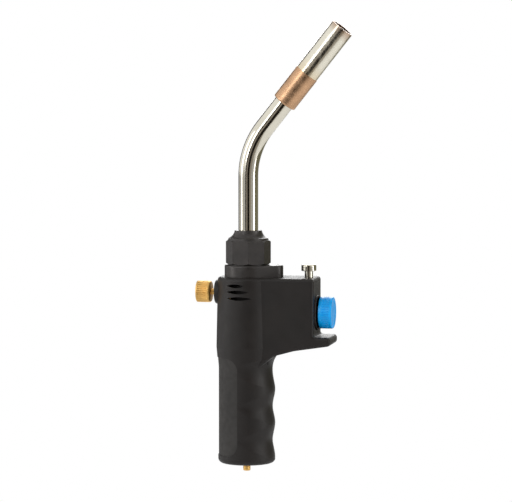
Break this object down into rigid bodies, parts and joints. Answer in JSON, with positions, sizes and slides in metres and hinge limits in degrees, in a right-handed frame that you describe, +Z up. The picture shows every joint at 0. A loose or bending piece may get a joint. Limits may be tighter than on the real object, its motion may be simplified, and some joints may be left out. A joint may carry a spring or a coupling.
{
  "type": "propane torch",
  "caption": "Hand-held gas torch with a trigger, a lock button, a flame knob and a bent steel burn tube on a black handle.",
  "frame": {"origin": "on the handle's axis at its bottom rim, where the gas cylinder screws in", "axes": "+Z up the handle to the tip, +X forward towards the trigger, +Y to the left of the holder"},
  "size_m": [0.1005, 0.039, 0.289],
  "materials": {
    "black_plastic": "fine matt texture",
    "grip_rubber": "soft-touch matt",
    "black_metal": "black satin coating",
    "polished_steel": "polished",
    "tip_steel": "polished, heat tinted",
    "brass": "satin",
    "bronze": "satin, beige",
    "blue_plastic": "semi-gloss",
    "zinc": "cast",
    "spring_steel": "bright",
    "seal_rubber": "matt",
    "ceramic": "glazed",
    "wire_jacket": "insulated"
  },
  "bodies": {
    "housing": {"right_shell": "black_plastic", "left_shell": "black_plastic", "shell_screws": "spring_steel", "rear_grip_pad": "grip_rubber", "inlet_fitting": "brass", "inlet_seal": "seal_rubber", "depressor_pin": "brass", "gas_filter": "bronze", "regulator_body": "zinc", "regulator_diaphragm": "seal_rubber", "regulator_spring": "spring_steel", "regulator_cap": "zinc", "gas_pipe": "brass", "valve_body": "black_metal", "needle_gland": "brass", "gas_jet": "brass", "mixer_tube": "brass", "burner_flange": "black_metal", "flange_screw": "spring_steel", "tube_nut": "black_metal", "burn_tube": "polished_steel", "tip_collar": "bronze", "flame_tube": "tip_steel", "flame_holder": "brass", "electrode_insulator": "ceramic", "spark_electrode": "spring_steel", "ignition_wire": "wire_jacket", "piezo_igniter": "ceramic", "trigger_spring": "spring_steel", "trigger_bezel": "black_plastic", "lock_guide": "black_plastic", "lock_spring": "spring_steel"},
    "trigger": {"piezo_plunger": "black_plastic", "trigger_slider": "black_plastic", "valve_stem": "spring_steel", "trigger_button": "blue_plastic"},
    "lock": {"lock_button": "polished_steel", "lock_clip": "spring_steel"},
    "knob": {"flame_knob": "brass", "needle_stem": "brass"}
  },
  "joints": [
    {"name": "trigger_push", "type": "slide", "parent": "housing", "child": "trigger", "axis": [-1, 0, 0], "range_m": [0, 0.0045], "stiffness_N_per_m": 900, "springref_m": -0.004, "deforming": ["trigger_spring"]},
    {"name": "lock_push", "type": "slide", "parent": "housing", "child": "lock", "axis": [0, 0, -1], "range_m": [0, 0.003], "stiffness_N_per_m": 400, "springref_m": -0.003, "deforming": ["lock_spring"]},
    {"name": "knob_turn", "type": "hinge", "parent": "housing", "child": "knob", "pos_m": [0, 0, 0.1099], "axis": [1, 0, 0], "range_deg": [-180, 360]}
  ]
}
